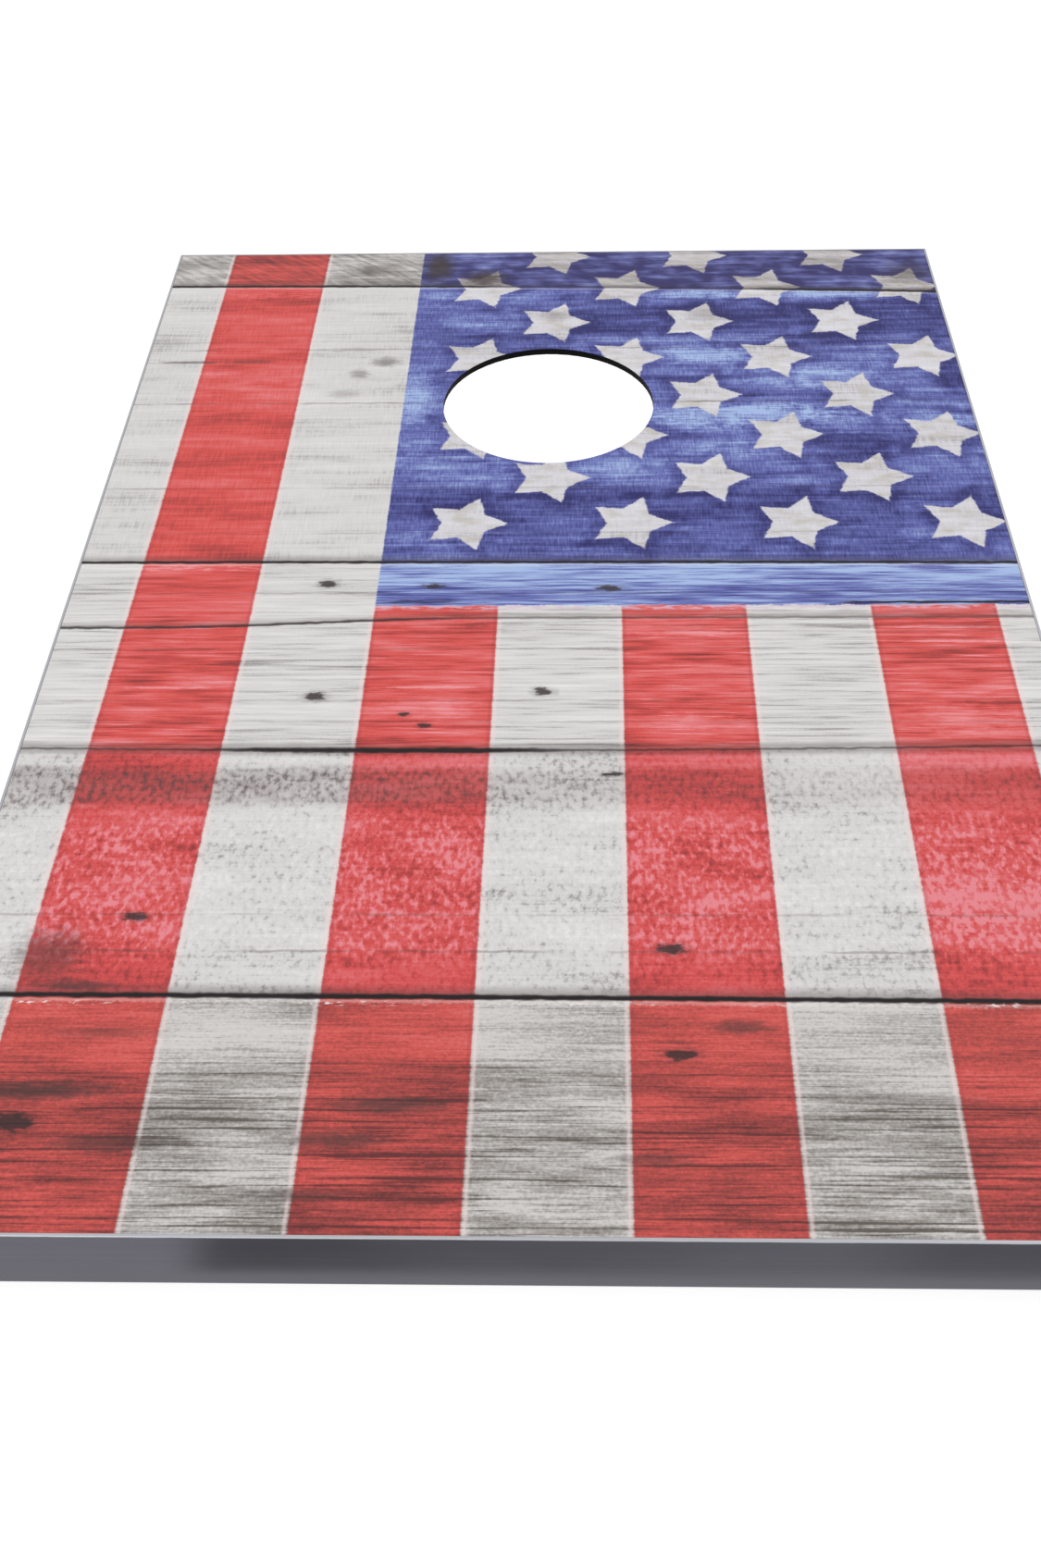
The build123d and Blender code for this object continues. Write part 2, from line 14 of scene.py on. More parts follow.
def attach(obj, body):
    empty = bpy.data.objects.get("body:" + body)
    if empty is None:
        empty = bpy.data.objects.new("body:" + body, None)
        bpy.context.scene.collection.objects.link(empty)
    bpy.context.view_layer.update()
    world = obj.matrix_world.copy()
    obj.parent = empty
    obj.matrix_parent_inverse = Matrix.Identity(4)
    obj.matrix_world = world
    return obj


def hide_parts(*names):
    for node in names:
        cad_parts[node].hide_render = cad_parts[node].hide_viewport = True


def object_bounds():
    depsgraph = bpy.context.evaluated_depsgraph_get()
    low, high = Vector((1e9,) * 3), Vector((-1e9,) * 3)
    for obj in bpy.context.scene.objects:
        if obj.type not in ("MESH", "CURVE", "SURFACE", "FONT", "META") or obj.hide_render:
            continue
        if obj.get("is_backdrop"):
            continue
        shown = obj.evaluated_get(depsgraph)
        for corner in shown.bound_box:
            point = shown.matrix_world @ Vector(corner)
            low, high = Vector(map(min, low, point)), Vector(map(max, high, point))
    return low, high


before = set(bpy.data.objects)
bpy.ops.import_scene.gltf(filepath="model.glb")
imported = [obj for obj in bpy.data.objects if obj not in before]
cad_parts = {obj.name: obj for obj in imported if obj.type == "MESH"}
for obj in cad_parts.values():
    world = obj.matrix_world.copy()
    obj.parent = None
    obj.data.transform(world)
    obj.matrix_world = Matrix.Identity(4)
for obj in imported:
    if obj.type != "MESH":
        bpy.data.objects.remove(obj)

cad_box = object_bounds()
MM = 0.001                      # one millimetre in Blender's metres
SCREEN_GAMMA = 2.2
NOISE_SPREAD = 4.2              # brings most of the noise between -1 and 1

# The print
DECK_X = 304.8                  # half the deck's width
STRIPE_WIDTH = 77.7
FIRST_STRIPE = -258.6           # left side of the first red stripe, at the rear edge
STRIPE_LEAN = -0.0082           # how far the stripes drift in x for each millimetre of s
CANTON_END = 463.0
STAR_PITCH_X = 110.0
STAR_PITCH_S = 104.72
STAR_TIP = 28.5                 # from the middle of a star to a tip
STAR_NOTCH = 15.7               # from the middle of a star to an inner corner
STAR_STRETCH = 1.06             # along s
STAR_STEP = radians(72.0)       # from one tip to the next
EVEN_STAR = (4.1, 9.0)          # x and s of a star of the even rows
ODD_STAR = (-50.9, 61.36)       # x and s of a star of the odd rows
FIRST_EVEN_STAR = -50.0         # the even rows start right of this x
LAST_EVEN_STAR = 380.0          # the even rows end at this s
LAST_ODD_STAR = 420.0           # the odd rows end at this s
PLANK_ENDS = (62.0, 418.0, 470.0, 596.0, 777.0)     # s at the low end of each plank but the last

# Colours of the paints, each at a tone of -1, 0 and 1
WHITE = ((92, 87, 83), (208, 206, 205), (236, 235, 232))
RED = ((96, 42, 44), (213, 80, 76), (236, 144, 150))
BLUE = ((44, 43, 100), (97, 104, 171), (164, 186, 228))
STAR = ((100, 94, 92), (206, 204, 210), (232, 231, 234))

# Colours laid over the paints
CRIMSON = (188, 62, 84)         # the cast of the red on the fifth plank
CREAM = (184, 177, 166)         # patches on the stars
BLOTS = (214, 188, 210)         # along the foot of the canton
STRIPE_RIM = (236, 214, 212)    # just outside a red stripe
STRIPE_EDGE = (150, 56, 60)     # just inside it
GROOVE_SHADE = (64, 56, 56)
GROOVE_GAP = (30, 25, 28)
GROOVE_EDGE = (238, 234, 232)
CHIPS = (232, 220, 218)         # along the last plank's edge
UPPER_JOINT_SHADE = (84, 74, 72)
UPPER_JOINT = (46, 38, 40)
JOINT_GRAIN = (84, 70, 70)
LOWER_JOINT_SHADE = (60, 50, 50)
LOWER_JOINT = (28, 22, 24)
SHORT_LINE = (26, 22, 30)
FAINT_LINE = (70, 60, 60)
DIRT_BAND = (84, 68, 68)
SMUDGE = (62, 52, 52)
KNOT = (48, 40, 42)
DUST = (150, 128, 112)          # the brown cast of the first and the last plank

# Camera, in deck coordinates
CAMERA_X = 16.6
CAMERA_S = 1328.4
CAMERA_ABOVE = 688.4
CAMERA_PITCH = 45.66            # between the optical axis and the deck, degrees
CAMERA_YAW = 1.66
CAMERA_LENS = 40.12
SENSOR_WIDTH = 36.0


# Places on the deck

def deck_directions():
    """Unit vectors along the deck, up the slope, and out of it, from the printed sheet's largest faces."""
    out = Vector((0.0, 0.0, 0.0))
    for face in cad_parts["deck_print"].data.polygons:
        if face.normal.z > 0.5:
            out += face.normal * face.area
    out.normalize()
    return Vector((0.0, out.z, -out.y)), out


ALONG, OUT = deck_directions()
REAR_EDGE = max(vertex.co.dot(ALONG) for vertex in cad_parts["rear_rail"].data.vertices)
FRONT_EDGE = min(vertex.co.dot(ALONG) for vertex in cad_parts["front_rail"].data.vertices)
RIM_TOP = max(vertex.co.dot(OUT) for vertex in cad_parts["rear_rail"].data.vertices)
DECK_LENGTH = (REAR_EDGE - FRONT_EDGE) / MM


def deck_point(x, s, depth):
    """A point in the row frame, in metres, from deck coordinates in millimetres."""
    return Vector((x * MM, 0.0, 0.0)) + ALONG * (REAR_EDGE - s * MM) + OUT * (RIM_TOP - depth * MM)


def deck_coordinates(point):
    """Deck coordinates in millimetres of a point in the row frame."""
    return point.x / MM, (REAR_EDGE - point.dot(ALONG)) / MM, (RIM_TOP - point.dot(OUT)) / MM


# Arithmetic on shader sockets

class Field:
    """A number or colour that varies over a surface, held as a socket of a shader node tree."""

    def __init__(self, socket):
        self.socket = socket

    def __add__(self, other):
        return calculate("ADD", self, other)

    def __radd__(self, other):
        return calculate("ADD", other, self)

    def __sub__(self, other):
        return calculate("SUBTRACT", self, other)

    def __rsub__(self, other):
        return calculate("SUBTRACT", other, self)

    def __mul__(self, other):
        return calculate("MULTIPLY", self, other)

    def __rmul__(self, other):
        return calculate("MULTIPLY", other, self)

    def __truediv__(self, other):
        return calculate("DIVIDE", self, other)


def feed(place, value):
    """Connects a field to an input, or sets the input to a plain value."""
    if isinstance(value, Field):
        value.socket.id_data.links.new(value.socket, place)
    elif isinstance(value, tuple) and max(value) > 1.0:
        place.default_value = (value[0] / 255, value[1] / 255, value[2] / 255, 1.0)
    else:
        place.default_value = value


def add_node(fields, kind):
    """A new node in the tree that the first of these fields belongs to."""
    tree = next(field for field in fields if isinstance(field, Field)).socket.id_data
    return tree.nodes.new(kind)


def calculate(operation, *values):
    node = add_node(values, "ShaderNodeMath")
    node.operation = operation
    for place, value in zip(node.inputs, values):
        feed(place, value)
    return Field(node.outputs[0])


class Formula:
    """Makes a function of fields into a node group, so that each call of it adds a single node."""

    def __init__(self, write):
        names = write.__code__.co_varnames[:write.__code__.co_argcount]
        self.tree = bpy.data.node_groups.new(write.__name__, "ShaderNodeTree")
        for name in names:
            self.tree.interface.new_socket(name, in_out="INPUT", socket_type="NodeSocketFloat")
        self.tree.interface.new_socket("Result", in_out="OUTPUT", socket_type="NodeSocketFloat")
        given = self.tree.nodes.new("NodeGroupInput").outputs
        result = self.tree.nodes.new("NodeGroupOutput").inputs[0]
        feed(result, write(*[Field(given[name]) for name in names]))

    def __call__(self, *values):
        node = add_node(values, "ShaderNodeGroup")
        node.node_tree = self.tree
        for place, value in zip(node.inputs, values):
            feed(place, value)
        return Field(node.outputs[0])


def ramp(value, low, high):
    """0 up to low, 1 from high on, and smooth between them. Low may lie above high."""
    node = add_node((value, low, high), "ShaderNodeMapRange")
    node.interpolation_type = "SMOOTHSTEP"
    node.clamp = False                      # the smooth step stays within 0 and 1 by itself
    feed(node.inputs["Value"], value)
    feed(node.inputs["From Min"], low)
    feed(node.inputs["From Max"], high)
    return Field(node.outputs["Result"])


@Formula
def between(value, low, high, soft):
    """1 from low to high, with soft ends."""
    return ramp(value, low - soft, low + soft) * ramp(value, high + soft, high - soft)


def larger(first, second):
    return calculate("MAXIMUM", first, second)


def smaller(first, second):
    return calculate("MINIMUM", first, second)


def size_of(value):
    return calculate("ABSOLUTE", value)


def distance(x, y):
    """Length of the vector (x, y)."""
    return calculate("SQRT", x * x + y * y)


def repeat(value, pitch):
    """Value wrapped to run from minus half a pitch to half a pitch."""
    return calculate("WRAP", value, pitch / 2, -pitch / 2)


def vector(x, y, z):
    node = add_node((x, y, z), "ShaderNodeCombineXYZ")
    for place, value in zip(node.inputs, (x, y, z)):
        feed(place, value)
    return Field(node.outputs[0])


@Formula
def centred_noise(x, y, seed, detail, roughness):
    node = add_node((x, y), "ShaderNodeTexNoise")
    feed(node.inputs["Vector"], vector(x, y, seed))
    node.inputs["Scale"].default_value = 1.0
    feed(node.inputs["Detail"], detail)
    feed(node.inputs["Roughness"], roughness)
    return (Field(node.outputs["Fac"]) - 0.5) * NOISE_SPREAD


def noise(x, y, seed, detail=2.0, roughness=0.5):
    """Random patches about one unit across, from -1 to 1 around 0. The seed may be a third coordinate."""
    return centred_noise(x, y, seed, detail, roughness)


def cells(x, y, z, size):
    """Distance from the middle of the nearest random cell, in cell sizes."""
    node = add_node((x, y, z), "ShaderNodeTexVoronoi")
    feed(node.inputs["Vector"], vector(x / size, y / size, z / size))
    node.inputs["Scale"].default_value = 1.0
    return Field(node.outputs["Distance"])


def mix(under, over, amount):
    """The colour under, covered by the colour over by an amount from 0 to 1."""
    node = add_node((amount, under, over), "ShaderNodeMix")
    node.data_type = "RGBA"
    colour_inputs = [place for place in node.inputs if place.type == "RGBA"]
    feed(node.inputs[0], amount)
    feed(colour_inputs[0], under)
    feed(colour_inputs[1], over)
    return Field(next(place for place in node.outputs if place.type == "RGBA"))


def toned(colours, tone):
    """One of a paint's colours for a tone from -1, dark, to 1, light."""
    dark, plain, light = colours
    darker = mix(plain, dark, calculate("MULTIPLY", tone, -1.0))
    return mix(darker, light, tone)


# Materials

class Surface:
    """A material under construction, with the coordinates of the shaded point as fields."""

    def __init__(self, name):
        self.material = bpy.data.materials.new(name)
        self.material.use_nodes = True
        self.tree = self.material.node_tree
        self.shader = self.tree.nodes["Principled BSDF"]
        place = self.tree.nodes.new("ShaderNodeTexCoord").outputs["Object"]
        self.x = self.along(place, Vector((1.0, 0.0, 0.0)))
        self.s = REAR_EDGE / MM - self.along(place, ALONG)
        self.depth = RIM_TOP / MM - self.along(place, OUT)

    def along(self, place, direction):
        """Millimetres along a direction."""
        node = self.tree.nodes.new("ShaderNodeVectorMath")
        node.operation = "DOT_PRODUCT"
        self.tree.links.new(place, node.inputs[0])
        node.inputs[1].default_value = direction / MM
        return Field(node.outputs["Value"])

    def finish(self, colour, roughness, height=None, bump=1.0, metallic=0.0, specular=0.5):
        """Connects the fields. Height is in millimetres. Colour is as on a screen up to the gamma node."""
        gamma = self.tree.nodes.new("ShaderNodeGamma")
        gamma.inputs["Gamma"].default_value = SCREEN_GAMMA
        feed(gamma.inputs["Color"], colour)
        self.tree.links.new(gamma.outputs[0], self.shader.inputs["Base Color"])
        feed(self.shader.inputs["Roughness"], roughness)
        feed(self.shader.inputs["Metallic"], metallic)
        feed(self.shader.inputs["Specular IOR Level"], specular)
        if height is not None:
            node = self.tree.nodes.new("ShaderNodeBump")
            node.inputs["Strength"].default_value = bump
            node.inputs["Distance"].default_value = MM
            feed(node.inputs["Height"], height)
            self.tree.links.new(node.outputs[0], self.shader.inputs["Normal"])
        return self.material


# The printed picture of painted planks

# Grooves: s at the left edge, the middle and the right edge; half thickness; darkness at the sides and
# between FAINT_FROM and FAINT_TO in x
FAINT_FROM = -50.0
FAINT_TO = 165.0
GROOVES = (
    (53.5, 58.5, 70.5, 1.3, 0.95, 0.35),
    (417.0, 418.0, 420.0, 1.1, 0.95, 0.95),
    (776.0, 777.0, 779.0, 1.3, 1.0, 1.0),
)

# Short dark lines: first and last x, s, half thickness, darkness
SHORT_LINES = ((190.0, 320.0, 460.5, 0.9, 0.9), (-100.0, -58.0, 459.0, 0.9, 0.6))

# Faint level lines: s, darkness
FAINT_LINES = ((140.0, 0.2), (152.0, 0.28), (227.0, 0.45), (334.0, 0.25), (298.0, 0.12), (386.0, 0.16),
               (450.0, 0.25), (505.0, 0.25), (553.0, 0.2), (572.0, 0.16), (722.0, 0.2), (747.0, 0.3))

# Smudges: x, s, reach in x, reach in s, darkness
SMUDGES = (
    (-122.0, 170.0, 15.0, 9.0, 0.40), (-141.0, 187.0, 10.0, 9.0, 0.32), (-150.0, 214.0, 16.0, 8.0, 0.18),
    (-268.0, 169.0, 34.0, 3.0, 0.50), (-225.0, 169.0, 24.0, 3.5, 0.35), (-150.0, 152.0, 30.0, 4.0, 0.20),
    (-240.0, 835.0, 46.0, 8.0, 0.62), (-70.0, 842.0, 40.0, 7.0, 0.60), (-95.0, 862.0, 34.0, 6.0, 0.55),
    (-200.0, 865.0, 40.0, 7.0, 0.45), (-253.0, 750.0, 26.0, 24.0, 0.42), (-235.0, 770.0, 26.0, 5.0, 0.55),
    (-90.0, 24.0, 16.0, 30.0, 0.85), (-52.0, 44.0, 24.0, 17.0, 0.75), (100.0, 795.0, 22.0, 6.0, 0.45),
    (-110.0, 892.0, 34.0, 5.0, 0.40), (55.0, 872.0, 24.0, 5.0, 0.40), (-140.0, 30.0, 30.0, 14.0, 0.28),
    (-130.0, 47.0, 46.0, 8.0, 0.30), (180.0, 838.0, 50.0, 6.0, 0.25), (4.0, 104.0, 16.0, 12.0, 0.22),
    (120.0, 102.0, 20.0, 14.0, 0.20), (285.0, 40.0, 26.0, 26.0, 0.35), (-215.0, 800.0, 40.0, 5.0, 0.25),
)

# Knots: x, s, reach in x, reach in s
KNOTS = (
    (-139.0, 440.0, 6.0, 4.6), (-71.0, 443.0, 7.0, 3.0), (41.0, 446.0, 9.0, 3.4), (-136.0, 549.0, 7.0, 4.6),
    (0.0, 545.0, 6.5, 3.6), (-82.0, 565.0, 3.6, 2.2), (-70.0, 575.0, 4.0, 2.4), (41.0, 616.0, 7.0, 2.0),
    (-213.0, 724.0, 7.0, 3.4), (68.0, 745.0, 8.0, 4.0), (70.0, 812.0, 9.0, 4.0), (-248.0, 853.0, 11.0, 6.0),
)

# Pale scratches on the red paint: x, s, reach in x, reach in s, strength
SCRATCHES = (
    (-222.0, 541.0, 42.0, 1.7, 0.9), (-68.0, 482.0, 38.0, 7.0, 0.45), (-66.0, 541.0, 42.0, 1.8, 1.0),
    (-70.0, 560.0, 42.0, 12.0, 0.40), (90.0, 491.0, 42.0, 3.5, 0.7), (92.0, 572.0, 44.0, 9.0, 0.50),
    (248.0, 485.0, 46.0, 1.7, 1.0), (248.0, 499.0, 46.0, 1.8, 1.0), (248.0, 570.0, 48.0, 18.0, 0.50),
)

# Brush marks in the canton, light or dark: x, s, reach in x, reach in s, tone
BRUSH_MARKS = (
    (-60.0, 112.0, 46.0, 16.0, 0.30), (-60.0, 74.0, 52.0, 9.0, 0.50), (180.0, 73.0, 150.0, 8.0, 0.80),
    (118.0, 162.0, 66.0, 16.0, 0.90), (100.0, 141.0, 90.0, 8.0, 0.40), (-98.0, 222.0, 22.0, 48.0, 0.85),
    (200.0, 198.0, 66.0, 20.0, 0.75), (258.0, 160.0, 34.0, 16.0, 0.30), (140.0, 246.0, 108.0, 20.0, 1.20),
    (276.0, 256.0, 34.0, 17.0, 0.80), (-60.0, 304.0, 60.0, 38.0, 0.40), (40.0, 312.0, 76.0, 26.0, 0.35),
    (140.0, 286.0, 66.0, 16.0, 0.45), (220.0, 286.0, 46.0, 26.0, -0.60), (230.0, 316.0, 44.0, 6.0, 0.35),
    (50.0, 357.0, 36.0, 9.0, 0.55), (256.0, 358.0, 32.0, 9.0, 0.50), (-60.0, 390.0, 54.0, 12.0, 0.60),
    (50.0, 384.0, 40.0, 9.0, 0.35), (258.0, 389.0, 42.0, 12.0, 0.45), (280.0, 54.0, 46.0, 10.0, 0.60),
    (302.0, 196.0, 24.0, 40.0, -0.60), (214.0, 140.0, 46.0, 14.0, -0.45), (-6.0, 150.0, 44.0, 10.0, -0.40),
)


def bent(x, left, middle, right):
    """A gentle curve through three heights at the left edge, the middle and the right edge of the deck."""
    slope = (right - left) / (2 * DECK_X)
    bend = (left + right - 2 * middle) / (2 * DECK_X * DECK_X)
    return middle + x * slope + x * x * bend


@Formula
def line(s, path, half_width):
    """1 on a path and 0 from about twice the half width on."""
    return ramp(size_of(s - path), half_width * 1.9, half_width * 0.4)


@Formula
def oval(x, s, uneven, reach_x, reach_s):
    """1 in the middle of an oval, fading out to 0 at its edge."""
    return ramp(distance(x / reach_x, s / reach_s) + uneven, 1.05, 0.2)


def spot(place, at_x, at_s, reach_x, reach_s):
    """A soft oval patch with an uneven edge."""
    return oval(place.x - at_x, place.s - at_s, place.uneven, reach_x, reach_s)


def star_rows(x, s, first_x, first_s):
    """Signed distance to the nearest star of a lattice, below 0 inside."""
    row_x = repeat(x - first_x, STAR_PITCH_X)
    row_s = repeat(s - first_s, STAR_PITCH_S) / STAR_STRETCH
    away = distance(row_x, row_s)
    turn = calculate("ARCTAN2", row_s, row_x)
    fold = size_of(repeat(turn, STAR_STEP))
    notch = Vector((STAR_NOTCH * cos(STAR_STEP / 2), STAR_NOTCH * sin(STAR_STEP / 2)))
    side = Vector((notch.y, STAR_TIP - notch.x)).normalized()
    across = (away * calculate("COSINE", fold) - STAR_TIP) * side.x
    return across + away * calculate("SINE", fold) * side.y


class Picture:
    """Fields that the layers of the printed picture share: places, unevenness and one mask for each plank."""

    def __init__(self, surface):
        x = surface.x
        s = surface.s
        self.x = x
        self.s = s
        self.upright = x - s * STRIPE_LEAN          # x with the stripes' lean taken out
        self.ragged = noise(x / 1.7, s / 1.5, 3.0)
        self.wavy = noise(x / 10.0, s / 5.0, 5.0)
        self.uneven = noise(x / 7.0, s / 3.0, 8.0, 3.0, 0.6) * 0.28
        self.edge = noise(s / 2.5, x / 40.0, 21.0) * 0.28
        first_end, second_end, third_end, fourth_end, fifth_end = PLANK_ENDS
        self.first = ramp(s, bent(x, 55.0, 60.0, 72.0), bent(x, 52.0, 57.0, 69.0))
        self.second = between(s, first_end, second_end, 3.0)
        self.third = between(s, second_end, third_end, 2.0)
        self.fourth = between(s, third_end, fourth_end, 4.0)
        self.fifth = between(s, fourth_end, fifth_end, 2.0)
        self.sixth = ramp(s, fifth_end - 0.5, fifth_end + 2.0)
        self.worn_end = ramp(s, 790.0, 850.0)
        self.below_canton = ramp(s + self.wavy + self.ragged * 0.7, CANTON_END - 0.8, CANTON_END + 0.8)
        crowd = noise(x / 34.0, s / 20.0, 19.0, 3.0)
        self.flecks = ramp(noise(x / 3.2, s / 5.2, 18.0, 2.0) + crowd * 0.20, -0.50, 1.40)
        pale_flecks = ramp(noise(x / 3.2, s / 5.6, 20.0, 2.0) - crowd * 0.4, -0.50, 1.40)
        self.pale_flecks = pale_flecks * between(s, 648.0, 752.0, 16.0)


def wood_tone(place):
    """Light and dark of the bare wood, which shows through all of the paint."""
    x, s = place.x, place.s
    broad = noise(x / 130.0, s / 24.0, 11.0)
    level = noise(x / 75.0, s / 2.6, 12.0, 3.0, 0.6)
    hair = noise(x / 26.0, s / 0.9, 10.0, 2.0)
    brushed = noise(x / 1.4, s / 16.0, 13.0, 2.0)
    slanted = noise((x + s) / 34.0, (s - x * 0.8) / 5.0, 14.0, 3.0, 0.6)
    slanted = slanted * (ramp(x, -90.0, -112.0) * 0.7 + 0.3)
    cloudy = noise(x / 34.0, s / 6.5, 15.0, 3.0, 0.6)
    long_lines = noise(x / 120.0, s / 2.1 + cloudy * 0.14, 17.0, 1.0)
    short_lines = noise(x / 44.0, s / 1.8 + cloudy * 0.16, 16.0, 1.0)
    mottled = noise(x / 3.6, s / 2.0, 22.0, 2.0)
    tone = broad * 0.32 + place.ragged * 0.08 + level * 0.22 + 0.09
    tone = tone + place.second * (brushed * 0.16 + cloudy * 0.14 + 0.02)
    tone = tone + place.first * (slanted * 0.40 + cloudy * 0.26 - 0.32)
    tone = tone + place.third * (level * 0.26 + hair * 0.18 + 0.06)
    tone = tone + place.fourth * (level * 0.36 + hair * 0.24 + 0.07)
    tone = tone - place.fifth * (place.flecks * 0.54 - place.pale_flecks * 0.40 - place.ragged * 0.10 - 0.12)
    worn = place.worn_end * (cloudy * 0.24 - 0.17) + place.ragged * 0.10 + mottled * 0.16 - 0.17
    lines = ramp(long_lines, 0.10, 0.95) * (place.worn_end * 0.60 + 0.14)
    lines = larger(lines, ramp(short_lines, 0.30, 1.10) * place.worn_end * 0.55)
    return tone + place.sixth * (worn - lines + hair * 0.20)


def paint_masks(place):
    """Where the red stripes and the blue canton are."""
    across = place.upright + place.edge
    red = between(across, FIRST_STRIPE, FIRST_STRIPE + STRIPE_WIDTH, 0.6)
    for number in (2, 4, 6):
        start = FIRST_STRIPE + STRIPE_WIDTH * number
        red = larger(red, between(across, start, start + STRIPE_WIDTH, 0.6) * place.below_canton)
    canton_side = FIRST_STRIPE + STRIPE_WIDTH * 2
    canton = ramp(across, canton_side - 0.6, canton_side + 0.6) * (1.0 - place.below_canton)
    return red, canton


def star_masks(place):
    """Where the stars are, and the signed distance to the nearest one."""
    odd = star_rows(place.upright, place.s, *ODD_STAR)
    even = star_rows(place.upright, place.s, *EVEN_STAR)
    left_of_stars = ramp(place.upright, FIRST_EVEN_STAR, FIRST_EVEN_STAR - 1.0) * 100.0
    below_stars = ramp(place.s, LAST_EVEN_STAR, LAST_EVEN_STAR + 1.0) * 100.0
    odd = odd + ramp(place.s, LAST_ODD_STAR, LAST_ODD_STAR + 1.0) * 100.0
    nearest = smaller(odd, even + left_of_stars + below_stars)
    jagged = place.ragged * 0.50 + place.wavy * 0.80
    return ramp(nearest + jagged, 0.9, -0.7), nearest


def canton_tone(place, star_near):
    """Dark paint round the stars and in two rows, with level brush marks between."""
    x, s = place.x, place.s
    marks = noise(x / 70.0, s / 6.0, 31.0, 3.0, 0.55)
    lumps = noise(x / 20.0, s / 12.0, 32.0, 2.0)
    weave = noise(x / 1.3, s / 8.0, 33.0, 1.0)
    bristles = noise(x / 46.0, s / 2.2, 34.0, 3.0, 0.6)
    halo = ramp(star_near + lumps * 3.0, 12.0, 3.0)
    upper = between(s, 86.0, 132.0, 8.0) * ramp(x, 0.0, 36.0)
    lower = between(s, 336.0, 374.0, 8.0) * 0.20 + between(s, 336.0, 416.0, 10.0) * 0.20
    tone = marks * 0.38 - 0.10 - halo * 0.36 - upper * 0.54 - lower + bristles * 0.26 + lumps * 0.16
    brushed = 0.0
    for at_x, at_s, reach_x, reach_s, light in BRUSH_MARKS:
        brushed = brushed + spot(place, at_x, at_s, reach_x, reach_s) * light
    tone = tone + brushed * (bristles * 0.35 + 1.0)
    tone = tone + weave * 0.26 * place.second
    tone = tone + place.first * (lumps * 0.44 + marks * 0.16 - 0.16)
    third = 0.62 + bristles * 0.95 + marks * 0.50 - ramp(s, 432.0, 452.0) * 0.50
    return tone * (1.0 - place.third) + third * place.third


def red_tone(place):
    """Paint worn to pink in places, with pale scratches and flecks."""
    x, s = place.x, place.s
    faded = noise(x / 36.0, s / 9.0, 41.0, 3.0)
    scratch = noise(x / 46.0, (s - x * 0.04) / 1.7, 42.0, 2.0, 0.6)
    below_grooves = between(s, 420.0, 426.0, 1.5) + between(s, 62.0, 76.0, 4.0) * 0.6
    scratched = place.fourth * ramp(faded + ramp(x, -250.0, 250.0) * 0.6, -0.4, 0.9)
    tone = faded * 0.16 - place.second * 0.10
    tone = tone + ramp(scratch, 0.30, 1.0) * scratched
    for at_x, at_s, reach_x, reach_s, strength in SCRATCHES:
        tone = tone + spot(place, at_x, at_s, reach_x, reach_s) * strength
    tone = tone + place.fifth * (place.pale_flecks * 1.20 - 0.13) + place.fourth * (faded * 0.20 - 0.06)
    tone = tone + between(s, 172.0, 222.0, 12.0) * (0.22 + faded * 0.22)
    tone = tone + below_grooves * ramp(noise(x / 9.0, s / 1.8, 43.0), -0.2, 0.7) * 0.7
    tone = tone + spot(place, 246.0, 716.0, 72.0, 34.0) * (0.45 + place.pale_flecks * 0.90)
    tone = tone + between(s, 599.0, 612.0, 3.0) * ramp(x, -240.0, 60.0) * 0.60
    return tone - place.sixth * place.worn_end * 0.06


def with_fringes(place, picture):
    """A pale pink line outside each side of a red stripe, and a darker one just inside."""
    for number in range(8):
        past = place.upright + place.edge - (FIRST_STRIPE + STRIPE_WIDTH * number)
        outward = past if number % 2 else 0.0 - past
        where = 1.0 if number < 2 else place.below_canton
        picture = mix(picture, STRIPE_RIM, between(outward, 0.8, 2.6, 0.9) * (where * 0.62))
        picture = mix(picture, STRIPE_EDGE, between(outward, -2.2, -0.6, 0.7) * (where * 0.22))
    blots = ramp(noise(place.x / 8.0, place.s / 2.5, 44.0), -0.4, 0.4)
    canton_foot = between(place.s + place.wavy, CANTON_END, CANTON_END + 4.0, 1.2) * blots
    return mix(picture, BLOTS, canton_foot * ramp(place.upright, -104.0, -102.0) * 0.75)


def with_grooves(place, picture):
    """Gaps between the planks: a soft shadow above, a dark line, and a light worn edge below."""
    x, s = place.x, place.s
    for left, middle, right, width, dark, faint in GROOVES:
        path = bent(x, left, middle, right) + place.wavy * 0.45
        darkness = between(x, FAINT_FROM, FAINT_TO, 25.0) * (faint - dark) + dark
        shade = ramp(path - s, 10.0, 0.0) * ramp(path - s, -1.0, 0.0)
        picture = mix(picture, GROOVE_SHADE, shade * darkness * 0.40)
        picture = mix(picture, GROOVE_EDGE, line(s, path + 3.0 + place.ragged * 0.6, 1.0) * 0.30)
        picture = mix(picture, GROOVE_GAP, line(s, path, width) * darkness)
    chips = ramp(noise(x / 5.0, s / 2.0, 61.0, 2.0), 0.1, 0.6) * between(s, 779.5, 782.5, 1.0)
    picture = mix(picture, CHIPS, chips * ramp(noise(x / 60.0, s / 60.0, 62.0), -0.5, 0.3) * 0.95)
    for first_x, last_x, at_s, width, dark in SHORT_LINES:
        where = between(x, first_x, last_x, 9.0)
        picture = mix(picture, SHORT_LINE, line(s, at_s + place.wavy * 0.5, width) * where * dark)
    return with_cracks(place, picture)


